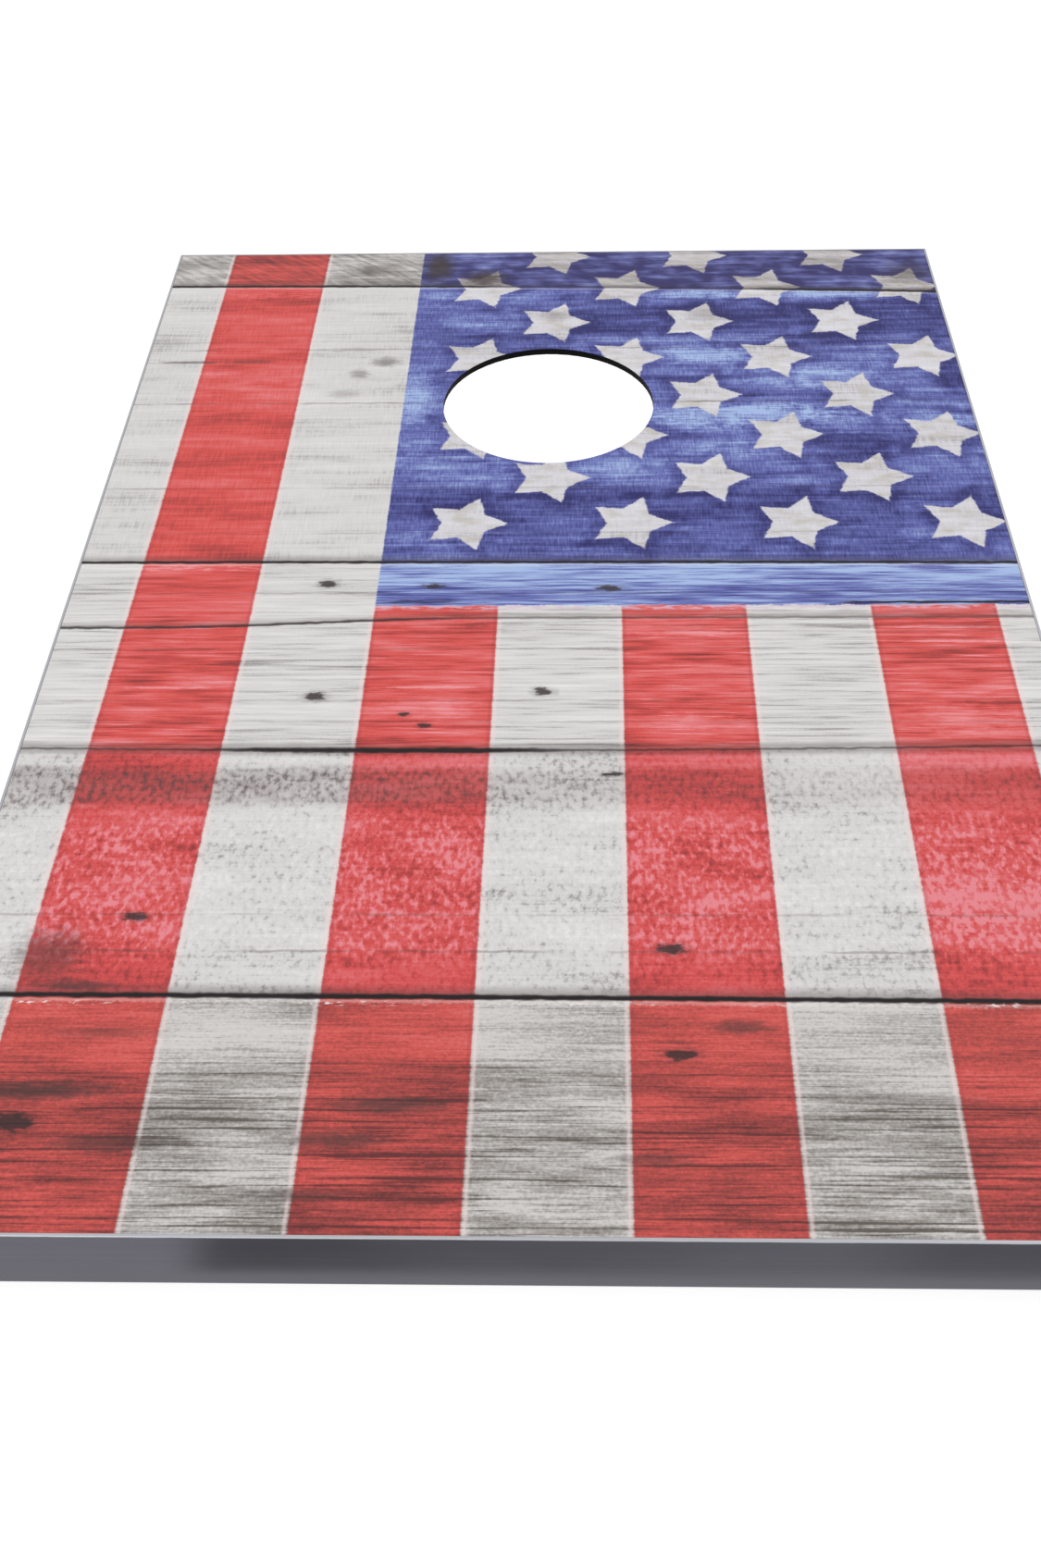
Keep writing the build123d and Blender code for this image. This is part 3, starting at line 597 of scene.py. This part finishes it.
def with_cracks(place, picture):
    """The two joints of the middle plank, which wander and fade."""
    x, s = place.x, place.s
    upper_path = 484.0 - ramp(x, -250.0, -40.0) * 8.5 + place.wavy * 0.5
    upper_dark = ramp(x, -40.0, -100.0) * 0.45 + 0.32
    shade = ramp(upper_path - s, 8.0, 0.0) * ramp(upper_path - s, -1.5, 0.5)
    picture = mix(picture, UPPER_JOINT_SHADE, shade * 0.30)
    picture = mix(picture, UPPER_JOINT, line(s, upper_path, 1.0) * upper_dark)
    for offset, dark in ((-9.0, 0.22), (-4.5, 0.16), (6.0, 0.30), (11.0, 0.20), (19.0, 0.14)):
        grain_line = line(s, upper_path + offset + ramp(x, -120.0, 260.0) * 3.0, 0.7) * ramp(x, -120.0, -20.0)
        broken = ramp(noise(x / 40.0, offset, 63.0), -0.6, 0.4)
        picture = mix(picture, JOINT_GRAIN, grain_line * broken * dark)
    lower_path = bent(x, 594.0, 596.0, 592.0) + place.wavy * 0.6
    heavy = between(x, -180.0, 0.0, 25.0)
    shadow = line(s, lower_path - 0.5, 4.0) * 0.30
    picture = mix(picture, LOWER_JOINT_SHADE, shadow)
    return mix(picture, LOWER_JOINT, line(s, lower_path, 0.7 + heavy * 0.9) * (0.45 + heavy * 0.5))


def with_marks(place, picture):
    """Faint level lines, smudges and knots."""
    x, s = place.x, place.s
    for at_s, dark in FAINT_LINES:
        broken = ramp(noise(x / 50.0, at_s, 51.0), -0.5, 0.4)
        picture = mix(picture, FAINT_LINE, line(s, at_s + place.wavy * 0.7, 0.7) * broken * dark)
    drift = noise(x / 55.0, s / 14.0, 52.0)
    band = between(s + drift * 3.0, 612.0, 640.0, 6.0) * (ramp(x, 60.0, -90.0) * 0.60 + 0.40)
    picture = mix(picture, DIRT_BAND, band * (0.20 + place.flecks * 0.50 + drift * 0.08))
    for at_x, at_s, reach_x, reach_s, dark in SMUDGES:
        picture = mix(picture, SMUDGE, spot(place, at_x, at_s, reach_x, reach_s) * dark)
    for at_x, at_s, reach_x, reach_s in KNOTS:
        halo = spot(place, at_x, at_s, reach_x * 1.7, reach_s * 1.6)
        picture = mix(picture, KNOT, halo * 0.30 + ramp(halo, 0.55, 0.95) * 0.50)
    return picture


def printed_laminate():
    """The layers of the printed picture, from the bare wood up."""
    surface = Surface("printed_laminate")
    place = Picture(surface)
    wood = wood_tone(place)
    red, canton = paint_masks(place)
    stars, star_near = star_masks(place)
    picture = toned(WHITE, wood)
    worn_red = mix(toned(RED, wood + red_tone(place)), CRIMSON, place.fifth * 0.14)
    picture = mix(picture, worn_red, red)
    picture = mix(picture, toned(BLUE, wood * 0.9 + canton_tone(place, star_near)), canton)
    cream = ramp(noise(place.x / 16.0, place.s / 9.0, 71.0, 3.0), -0.3, 0.9) * 0.6
    star_paint = mix(toned(STAR, wood * 1.2 + 0.04), CREAM, cream)
    picture = mix(picture, star_paint, stars * canton)
    picture = mix(picture, DUST, place.sixth * 0.10 + place.first * 0.09)
    picture = with_fringes(place, picture)
    picture = with_grooves(place, picture)
    picture = with_marks(place, picture)
    roughness = 0.56 + place.wavy * 0.03 + place.ragged * 0.03
    height = place.ragged * 0.012 + place.wavy * 0.01
    return surface.finish(picture, roughness, height, 0.25, specular=0.25)


# The other finishes

LINE_CONTRAST = 0.05            # how much the die lines of an extrusion differ in colour
RUBBED_EDGE = (202, 203, 208)   # bright aluminium along the rim: rubbed bare metal, and a painted highlight on its top edge


def mdf():
    """Raw fibreboard with a sealed, black-painted hole wall."""
    surface = Surface("mdf")
    x, s, depth = surface.x, surface.s, surface.depth
    fibres = noise(x / 2.4, s / 1.1, depth / 0.5, 4.0, 0.7)
    bundles = noise(x / 0.9, s / 0.8, depth / 0.9, 2.0)
    clouds = noise(x / 60.0, s / 60.0, 2.0, 3.0)
    chips = ramp(noise(x / 3.0, s / 1.4, 7.0, 2.0), 0.55, 0.8)
    tone = fibres * 0.30 + bundles * 0.15 + clouds * 0.22
    colour = toned(((112, 84, 58), (172, 139, 102), (208, 180, 142)), tone)
    colour = mix(colour, (98, 72, 50), chips * 0.45)
    wall = distance(x - HOLE_X, s - HOLE_S) + fibres * 0.35
    painted = ramp(wall, HOLE_RADIUS + 1.3, HOLE_RADIUS + 0.9)
    colour = mix(colour, (9, 9, 10), painted)
    roughness = 0.86 + fibres * 0.05 - painted * 0.20
    height = fibres * 0.03 + bundles * 0.02
    return surface.finish(colour, roughness, height, 0.6, specular=0.3 - painted * 0.2)


def extruded_aluminium(name, colours, across, roughness):
    """Brushed and anodised extrusion. Across is the deck coordinate that runs over the die lines."""
    surface = Surface(name)
    x, s, depth = surface.x, surface.s, surface.depth
    run, over = (s, x) if across == "x" else (x, s)
    die_lines = noise(run / 900.0, over / 0.35, depth / 0.35, 4.0, 0.7)
    wide_lines = noise(run / 1500.0, over / 2.2, depth / 2.2, 2.0)
    grain = noise(run / 2.0, over / 0.3, depth / 0.3, 2.0)
    stains = noise(x / 45.0, s / 45.0, depth / 20.0, 3.0)
    tone = (die_lines * 0.8 + wide_lines) * LINE_CONTRAST + stains * 0.06
    scuffs = ramp(noise(run / 7.0, over / 0.5, depth / 0.5, 3.0), 1.25, 1.6)
    colour = toned(colours, tone + scuffs * 0.3)
    # The rim's top half millimetre is painted bright: partly rubbed bare metal, partly a painted highlight.
    rubbed = ramp(depth + noise(run / 12.0, over, 4.0, 3.0) * 0.12, 0.50, 0.22)
    colour = mix(colour, RUBBED_EDGE, rubbed * 0.9)
    rough = roughness + die_lines * 0.04 + stains * 0.04 + scuffs * 0.12
    height = die_lines * 0.015 + grain * 0.006
    return surface.finish(colour, rough, height, 0.5, metallic=0.9)


def foam_tape():
    """Soft black foam with open pores."""
    surface = Surface("foam_tape")
    x, s, depth = surface.x, surface.s, surface.depth
    pores = cells(x, s, depth, 0.9)
    clumps = noise(x / 6.0, s / 6.0, depth / 3.0, 3.0)
    colour = toned(((18, 18, 19), (44, 44, 46), (72, 72, 74)), clumps * 0.4 + pores * 0.6 - 0.3)
    return surface.finish(colour, 0.93 - pores * 0.05, pores * 0.25, 0.8, specular=0.2)


def black_nylon():
    """Moulded nylon with the fine sparkle of a spark-eroded mould."""
    surface = Surface("black_nylon")
    x, s, depth = surface.x, surface.s, surface.depth
    spark = cells(x, s, depth, 0.55)
    flow = noise(x / 18.0, s / 7.0, depth / 9.0, 3.0)
    colour = toned(((20, 20, 22), (40, 40, 43), (66, 66, 70)), flow * 0.35 + spark * 0.3 - 0.1)
    return surface.finish(colour, 0.52 + flow * 0.07 + spark * 0.08, spark * 0.05, 0.6, specular=0.4)


def zinc_steel():
    """Zinc-plated steel: a cool grey with faint clouds and fine machining marks."""
    surface = Surface("zinc_steel")
    x, s, depth = surface.x, surface.s, surface.depth
    clouds = noise(x / 4.0, s / 4.0, depth / 4.0, 4.0, 0.6)
    speckle = noise(x / 0.35, s / 0.35, depth / 0.35, 2.0)
    colour = toned(((112, 113, 118), (184, 186, 190), (214, 212, 204)), clouds * 0.5 + speckle * 0.15)
    rough = 0.34 + clouds * 0.08 + speckle * 0.04
    return surface.finish(colour, rough, speckle * 0.01 + clouds * 0.01, 0.5, metallic=1.0)


def black_coated_tube():
    """Black powder coat with fine orange peel and a few worn specks."""
    surface = Surface("black_coated_tube")
    x, s, depth = surface.x, surface.s, surface.depth
    peel = noise(x / 1.1, s / 1.1, depth / 1.1, 2.0)
    swell = noise(x / 5.0, s / 5.0, depth / 5.0, 2.0)
    dust = ramp(noise(x / 0.8, s / 0.8, depth / 0.8, 1.0), 0.95, 1.15)
    colour = toned(((20, 20, 22), (43, 43, 46), (98, 98, 100)), swell * 0.2 + peel * 0.12 + dust * 0.5)
    rough = 0.42 + peel * 0.07 + swell * 0.05
    return surface.finish(colour, rough, peel * 0.05 + swell * 0.04, 0.7, specular=0.5)


def foot_rubber():
    """Matt rubber with a patchy dusty bloom."""
    surface = Surface("foot_rubber")
    x, s, depth = surface.x, surface.s, surface.depth
    skin = noise(x / 0.7, s / 0.7, depth / 0.7, 3.0)
    bloom = noise(x / 9.0, s / 9.0, depth / 9.0, 3.0)
    colour = toned(((24, 23, 23), (46, 45, 45), (104, 100, 94)), bloom * 0.35 + skin * 0.1)
    return surface.finish(colour, 0.85 + bloom * 0.06, skin * 0.06, 0.6, specular=0.3)


# Pieces

def hole_of_deck():
    """Middle and radius of the bag hole in deck coordinates, from the printed sheet's inner vertices."""
    inner = []
    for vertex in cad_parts["deck_print"].data.vertices:
        x, s, depth = deck_coordinates(vertex.co)
        if abs(x) < DECK_X / 2 and s < DECK_LENGTH / 2 and s > 50.0:
            inner.append((x, s))
    xs = [point[0] for point in inner]
    ss = [point[1] for point in inner]
    return (min(xs) + max(xs)) / 2, (min(ss) + max(ss)) / 2, (max(xs) - min(xs)) / 2


HOLE_X, HOLE_S, HOLE_RADIUS = hole_of_deck()


def print_extents():
    """Lowest and highest x, s and depth of the printed sheet."""
    points = [deck_coordinates(vertex.co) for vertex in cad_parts["deck_print"].data.vertices]
    lows = [min(point[axis] for point in points) for axis in range(3)]
    highs = [max(point[axis] for point in points) for axis in range(3)]
    return lows, highs


HOLE_STEPS = 160
SHEET_EDGE = 0.08               # radius of the sheet's cut edges, millimetres
SHEET_CORNER = 0.4              # radius of the sheet's corners, millimetres
CORNER_STEPS = 6
TOP_SHARE = 0.98                # how much of the texture square the printed face takes
TOP_MARGIN = 0.01               # from the square's sides to the printed face
SLIVER_LEFT = 0.992             # the other faces share this upright sliver of the square
SLIVER_WIDTH = 0.006
SLIVER_BOTTOM = 0.02
SLIVER_HEIGHT = 0.9


def sheet_outline(lows, highs, inset):
    """Points round the sheet, with small round corners."""
    corner = SHEET_CORNER
    points = []
    for number, (x, s) in enumerate(((highs[0], highs[1]), (lows[0], highs[1]), (lows[0], lows[1]),
                                     (highs[0], lows[1]))):
        turn_x = x - (corner + inset if x > 0 else -corner - inset)
        turn_s = s - corner - inset if s == highs[1] else s + corner + inset
        for step in range(CORNER_STEPS + 1):
            angle = (number + step / CORNER_STEPS) * pi / 2
            points.append((turn_x + corner * cos(angle), turn_s + corner * sin(angle)))
    return points


def sheet_hole(radius):
    angles = [2 * pi * step / HOLE_STEPS for step in range(HOLE_STEPS)]
    return [(HOLE_X + radius * cos(angle), HOLE_S + radius * sin(angle)) for angle in angles]


def add_loop(mesh, points, depth):
    return [mesh.verts.new(deck_point(x, s, depth)) for x, s in points]


def loop_edges(mesh, loop):
    return [mesh.edges.get((a, b)) or mesh.edges.new((a, b)) for a, b in zip(loop, loop[1:] + loop[:1])]


def join_loops(mesh, upper, lower):
    """Side faces between two loops of the same length."""
    for number, vertex in enumerate(upper):
        following = (number + 1) % len(upper)
        mesh.faces.new((vertex, upper[following], lower[following], lower[number]))


def print_sheet():
    """The laminate as its own thin sheet: printed face, cut edges with a tiny round, and a glued back."""
    lows, highs = print_extents()
    top, bottom = lows[2], highs[2]
    mesh = bmesh.new()
    outer = []
    inner = []
    for inset, depth in ((SHEET_EDGE, top), (0.0, top + SHEET_EDGE), (0.0, bottom)):
        outer.append(add_loop(mesh, sheet_outline(lows, highs, inset), depth))
        inner.append(add_loop(mesh, sheet_hole(HOLE_RADIUS + inset), depth))
    for loops in (outer, inner):
        join_loops(mesh, loops[0], loops[1])
        join_loops(mesh, loops[1], loops[2])
    for level in (0, 2):
        edges = loop_edges(mesh, outer[level]) + loop_edges(mesh, inner[level])
        bmesh.ops.triangle_fill(mesh, use_beauty=True, use_dissolve=False, edges=edges)
    bmesh.ops.recalc_face_normals(mesh, faces=mesh.faces)
    data = bpy.data.meshes.new("printed_sheet")
    mesh.to_mesh(data)
    mesh.free()
    lay_out(data, lows, highs)
    piece = bpy.data.objects.new("printed_sheet", data)
    bpy.context.scene.collection.objects.link(piece)
    return piece


def lay_out(data, lows, highs):
    """A texture layout that gives nearly the whole square to the printed face, and a sliver to the rest."""
    layer = data.uv_layers.new(name="OFBake")
    for face in data.polygons:
        printed = face.normal.dot(OUT) > 0.9
        for loop in face.loop_indices:
            x, s, depth = deck_coordinates(data.vertices[data.loops[loop].vertex_index].co)
            right = (x - lows[0]) / (highs[0] - lows[0])
            up = (highs[1] - s) / (highs[1] - lows[1])
            place = (TOP_MARGIN + right * TOP_SHARE, TOP_MARGIN + up * TOP_SHARE)
            if not printed:
                place = (SLIVER_LEFT + right * SLIVER_WIDTH, SLIVER_BOTTOM + up * SLIVER_HEIGHT)
            layer.data[loop].uv = place


sheet = print_sheet()
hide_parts("deck_print")
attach(sheet, "deck_frame")
sheet.data.materials.append(printed_laminate())

CHARCOAL = ((52, 52, 56), (97, 96, 104), (150, 150, 156))
MILL = ((128, 130, 132), (186, 188, 190), (222, 223, 224))
FINISHES = {
    "deck_panel": mdf(),
    "front_rail": extruded_aluminium("charcoal_aluminium_level", CHARCOAL, "s", 0.34),
    "left_rail": extruded_aluminium("charcoal_aluminium_side", CHARCOAL, "x", 0.34),
    "cross_brace": extruded_aluminium("mill_aluminium", MILL, "s", 0.30),
    "brace_tape": foam_tape(),
    "front_corner_left": black_nylon(),
    "corner_screws": zinc_steel(),
    "leg_tube_left": black_coated_tube(),
    "leg_foot_left": foot_rubber(),
}
SAME_FINISH = {
    "rear_rail": "front_rail",
    "right_rail": "left_rail",
    "front_corner_right": "front_corner_left",
    "rear_corner_left": "front_corner_left",
    "rear_corner_right": "front_corner_left",
    "leg_plug_left": "front_corner_left",
    "leg_plug_right": "front_corner_left",
    "pivot_spacers": "front_corner_left",
    "leg_spacers": "front_corner_left",
    "stretcher_plugs": "front_corner_left",
    "panel_screws": "corner_screws",
    "brace_screws": "corner_screws",
    "pivot_bolt_left": "corner_screws",
    "pivot_bolt_right": "corner_screws",
    "pivot_washers": "corner_screws",
    "stretcher_screws": "corner_screws",
    "wing_nut_left": "corner_screws",
    "wing_nut_right": "corner_screws",
    "leg_tube_right": "leg_tube_left",
    "stretcher_tube": "leg_tube_left",
    "leg_foot_right": "leg_foot_left",
}


def apply_finish(node, material):
    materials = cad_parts[node].data.materials
    materials.clear()
    materials.append(material)


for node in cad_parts:
    if node != "deck_print":
        apply_finish(node, FINISHES[SAME_FINISH.get(node, node)])


# Studio

WORLD_LIGHT = 0.80
FLOOR_SIZE = 30.0
FLOOR_GLOW = 0.72
FLOOR_COLOURS = ((176, 176, 176), (186, 186, 186), (192, 192, 192))

# What the front rail mirrors: brightness of the stage card in front of it, at places along x in metres
CARD_DEPTH = 0.30
CARD_OVERLAP = 0.002            # how far the card reaches under the rail
CARD_HEIGHT = 0.0004            # above the floor
CARD_COLOUR = (0.97, 0.97, 1.0, 1.0)
CARD_LIGHT = ((-0.40, 0.95), (-0.175, 1.0), (-0.145, 0.34), (0.0, 0.52), (0.13, 0.70), (0.215, 0.45),
              (0.40, 0.55))

# Lights: name, place, width, height and power
LIGHT_TARGET = (0.0, 0.0, 0.1)
LIGHTS = (("key", (-1.2, -1.4, 2.6), 2.4, 1.6, 17.0), ("fill", (1.8, 0.6, 2.2), 2.0, 2.0, 8.0))


def studio_floor():
    """A plain pale floor that glows a little, so that it stays nearly white."""
    mesh = bmesh.new()
    bmesh.ops.create_grid(mesh, x_segments=8, y_segments=8, size=FLOOR_SIZE / 2)
    data = bpy.data.meshes.new("studio_floor")
    mesh.to_mesh(data)
    mesh.free()
    floor = bpy.data.objects.new("studio_floor", data)
    bpy.context.scene.collection.objects.link(floor)
    surface = Surface("studio_floor")
    mottle = noise(surface.x / 300.0, surface.s / 300.0, 1.0, 2.0)
    surface.finish(toned(FLOOR_COLOURS, mottle * 0.2), 0.7, specular=0.1)
    surface.shader.inputs["Emission Color"].default_value = (1.0, 1.0, 1.0, 1.0)
    surface.shader.inputs["Emission Strength"].default_value = FLOOR_GLOW
    data.materials.append(surface.material)
    floor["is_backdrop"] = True


def mirrored_card():
    """A glowing card on the floor that only the front rail's reflection sees."""
    front = min(vertex.co.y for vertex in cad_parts["front_rail"].data.vertices)
    mesh = bmesh.new()
    left, right = CARD_LIGHT[0][0], CARD_LIGHT[-1][0]
    near, far = front - CARD_DEPTH, front + CARD_OVERLAP
    corners = ((left, near), (right, near), (right, far), (left, far))
    mesh.faces.new([mesh.verts.new((x, y, CARD_HEIGHT)) for x, y in corners])
    data = bpy.data.meshes.new("mirrored_card")
    mesh.to_mesh(data)
    mesh.free()
    card = bpy.data.objects.new("mirrored_card", data)
    bpy.context.scene.collection.objects.link(card)
    surface = Surface("mirrored_card")
    light = CARD_LIGHT[0][1]
    for (from_x, from_light), (to_x, to_light) in zip(CARD_LIGHT, CARD_LIGHT[1:]):
        light = ramp(surface.x, from_x / MM, to_x / MM) * (to_light - from_light) + light
    surface.finish((10, 10, 10), 1.0, specular=0.0)
    surface.shader.inputs["Emission Color"].default_value = CARD_COLOUR
    feed(surface.shader.inputs["Emission Strength"], light)
    data.materials.append(surface.material)
    card.visible_camera = False
    card.visible_diffuse = False
    card.visible_shadow = False
    card.visible_transmission = False
    card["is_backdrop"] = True


def studio_light(name, place, width, height, power):
    light = bpy.data.lights.new(name, "AREA")
    light.shape = "RECTANGLE"
    light.size = width
    light.size_y = height
    light.energy = power
    holder = bpy.data.objects.new(name, light)
    holder.location = place
    holder.rotation_euler = (Vector(LIGHT_TARGET) - Vector(place)).to_track_quat("-Z", "Y").to_euler()
    bpy.context.scene.collection.objects.link(holder)


def studio_world():
    world = bpy.data.worlds.new("studio_world")
    world.use_nodes = True
    background = world.node_tree.nodes["Background"]
    background.inputs["Color"].default_value = (1.0, 1.0, 1.0, 1.0)
    seen = Field(world.node_tree.nodes.new("ShaderNodeLightPath").outputs["Is Camera Ray"])
    feed(background.inputs["Strength"], seen * (1.0 - WORLD_LIGHT) + WORLD_LIGHT)
    bpy.context.scene.world = world


def camera():
    """The camera stands in front of the low edge and looks down along the deck."""
    data = bpy.data.cameras.new("camera")
    data.lens = CAMERA_LENS
    data.sensor_width = SENSOR_WIDTH
    data.sensor_fit = "AUTO"
    holder = bpy.data.objects.new("camera", data)
    bpy.context.scene.collection.objects.link(holder)
    flat = Matrix.Rotation(radians(CAMERA_YAW), 3, "Y") @ Matrix.Rotation(radians(-CAMERA_PITCH), 3, "X")
    right, down, ahead = flat.row[0], flat.row[1], flat.row[2]

    def in_frame(direction):
        """From the deck's x, s and depth directions to the row frame."""
        return Vector((direction[0], 0.0, 0.0)) - ALONG * direction[1] - OUT * direction[2]

    axes = Matrix((in_frame(right), -in_frame(down), -in_frame(ahead))).transposed()
    holder.matrix_world = Matrix.Translation(deck_point(CAMERA_X, CAMERA_S, -CAMERA_ABOVE)) @ axes.to_4x4()
    bpy.context.scene.camera = holder


bpy.context.scene.view_settings.view_transform = "Standard"
studio_floor()
mirrored_card()
studio_world()
for name, place, width, height, power in LIGHTS:
    studio_light(name, place, width, height, power)
camera()

visual_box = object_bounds()
boxes = {"cad": cad_box, "visual": visual_box}
